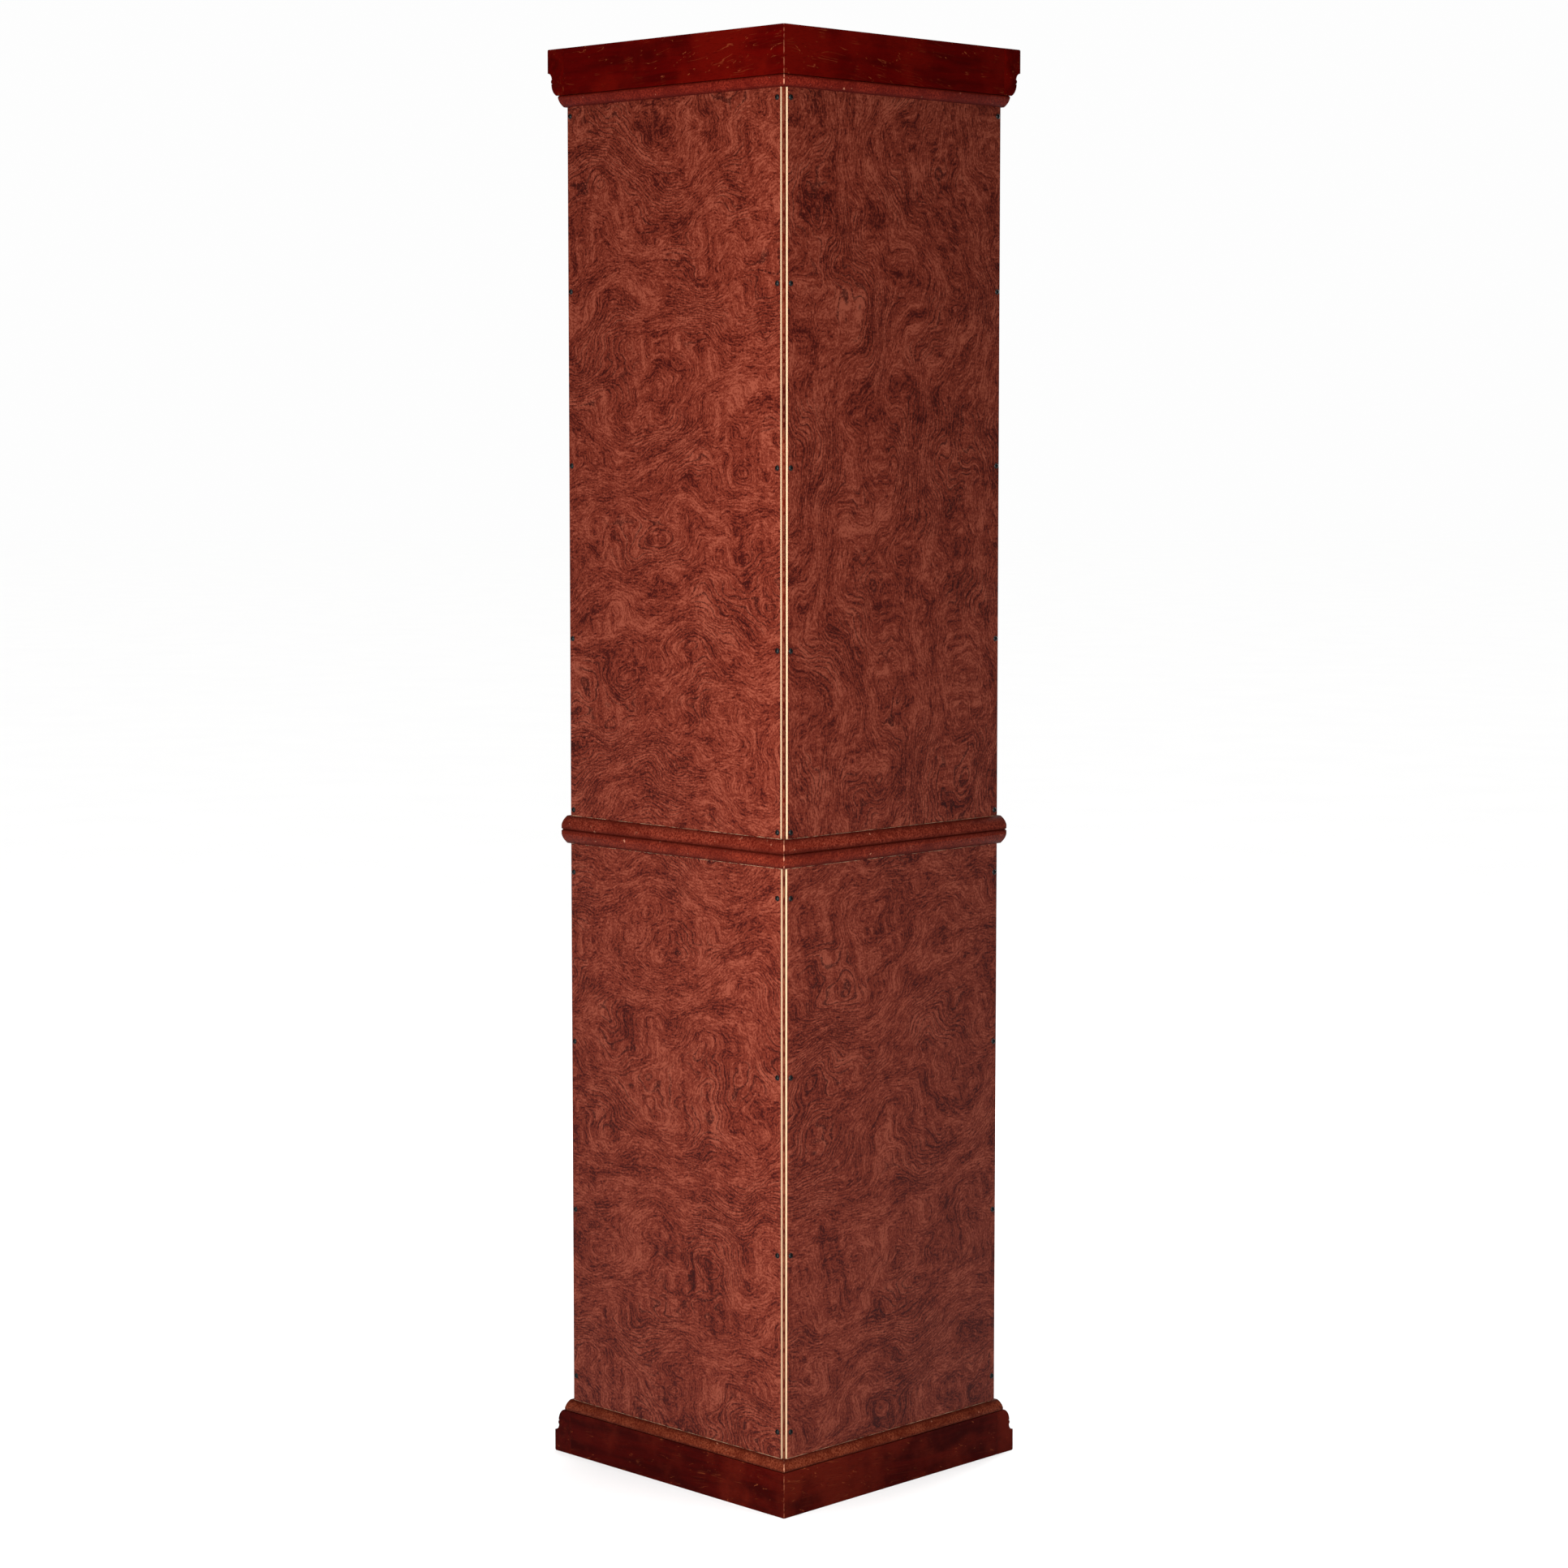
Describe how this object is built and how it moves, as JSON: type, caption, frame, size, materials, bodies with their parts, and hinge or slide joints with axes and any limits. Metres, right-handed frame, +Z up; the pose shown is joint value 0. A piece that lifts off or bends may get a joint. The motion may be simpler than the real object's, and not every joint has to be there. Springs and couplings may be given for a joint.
{
  "type": "corner display cabinet",
  "caption": "Tall corner display cabinet: a glazed upper section with glass shelves stacked on a panelled cupboard, with moulded crown, waist and plinth.",
  "frame": {"origin": "centre of the footprint, on the floor", "axes": "+Z up; the doors face -Y, and the right-angled back corner points to +Y; +X is to the right of a person who faces the doors"},
  "size_m": [0.6052, 0.4308, 1.829],
  "materials": {
    "crown_stain": "glossy dark red mahogany stain",
    "plinth_stain": "glossy dark brown-red mahogany stain",
    "deck_stain": "satin red-brown stain on fibreboard",
    "post_stain": "satin mahogany stain",
    "black_screw": "black, glossy",
    "side_laminate": "printed burl laminate, satin",
    "shelf_glass": "clear, polished edge",
    "pane_glass": "clear",
    "shelf_stain": "satin mahogany stain",
    "raw_wood": "bare wood",
    "pin_brass": "bright",
    "knob_brass": "antique, satin",
    "hinge_brass": "antique, satin",
    "catch_plastic": "brown plastic",
    "strike_steel": "zinc plated",
    "door_laminate": "printed burl laminate, satin",
    "door_stain": "glossy mahogany stain",
    "lower_back_panel_left_laminate": "printed burl laminate, satin",
    "lower_back_panel_right_laminate": "printed burl laminate, satin",
    "upper_back_panel_left_laminate": "printed burl laminate, satin",
    "upper_back_panel_right_laminate": "printed burl laminate, satin"
  },
  "bodies": {
    "cabinet": {"plinth_back_left": "plinth_stain", "plinth_back_right": "plinth_stain", "plinth_side_left": "plinth_stain", "plinth_side_right": "plinth_stain", "plinth_front": "plinth_stain", "base_deck": "deck_stain", "lower_corner_post": "post_stain", "lower_side_post_left": "post_stain", "lower_side_post_right": "post_stain", "lower_front_post_left": "post_stain", "lower_front_post_right": "post_stain", "lower_back_panel_left": "lower_back_panel_left_laminate", "lower_back_panel_right": "lower_back_panel_right_laminate", "lower_side_panel_left": "side_laminate", "lower_side_panel_right": "side_laminate", "lower_shelf": "shelf_stain", "lower_top_deck": "deck_stain", "upper_base_deck": "deck_stain", "upper_corner_post": "post_stain", "upper_side_post_left": "post_stain", "upper_side_post_right": "post_stain", "upper_front_post_left": "post_stain", "upper_front_post_right": "post_stain", "upper_back_panel_left": "upper_back_panel_left_laminate", "upper_back_panel_right": "upper_back_panel_right_laminate", "upper_side_glass_left": "pane_glass", "upper_side_glass_right": "pane_glass", "glass_shelf_low": "shelf_glass", "glass_shelf_middle": "shelf_glass", "glass_shelf_high": "shelf_glass", "upper_top_deck": "deck_stain", "crown_back_left": "crown_stain", "crown_back_right": "crown_stain", "crown_side_left": "crown_stain", "crown_side_right": "crown_stain", "crown_front": "crown_stain", "glue_blocks": "raw_wood", "back_panel_screws": "black_screw", "shelf_pins": "pin_brass", "alignment_dowels": "raw_wood", "hinge_frame_leaves": "hinge_brass", "hinge_pins": "hinge_brass", "magnetic_catches": "catch_plastic"},
    "upper_door": {"upper_door_hinge_stile": "door_stain", "upper_door_lock_stile": "door_stain", "upper_door_top_rail": "door_stain", "upper_door_bottom_rail": "door_stain", "upper_door_glass": "pane_glass", "upper_door_knob": "knob_brass", "upper_door_hinge_leaves": "hinge_brass", "upper_door_strike": "strike_steel"},
    "lower_door": {"lower_door_hinge_stile": "door_stain", "lower_door_lock_stile": "door_stain", "lower_door_top_rail": "door_stain", "lower_door_bottom_rail": "door_stain", "lower_door_panel": "door_laminate", "lower_door_knob": "knob_brass", "lower_door_hinge_leaves": "hinge_brass", "lower_door_strike": "strike_steel"}
  },
  "joints": [
    {"name": "upper_door_hinge", "type": "hinge", "parent": "cabinet", "child": "upper_door", "pos_m": [-0.13143, -0.19012, 1.30025], "axis": [0, 0, -1], "range_deg": [0, 110]},
    {"name": "lower_door_hinge", "type": "hinge", "parent": "cabinet", "child": "lower_door", "pos_m": [-0.13143, -0.19012, 0.44075], "axis": [0, 0, -1], "range_deg": [0, 110]}
  ]
}
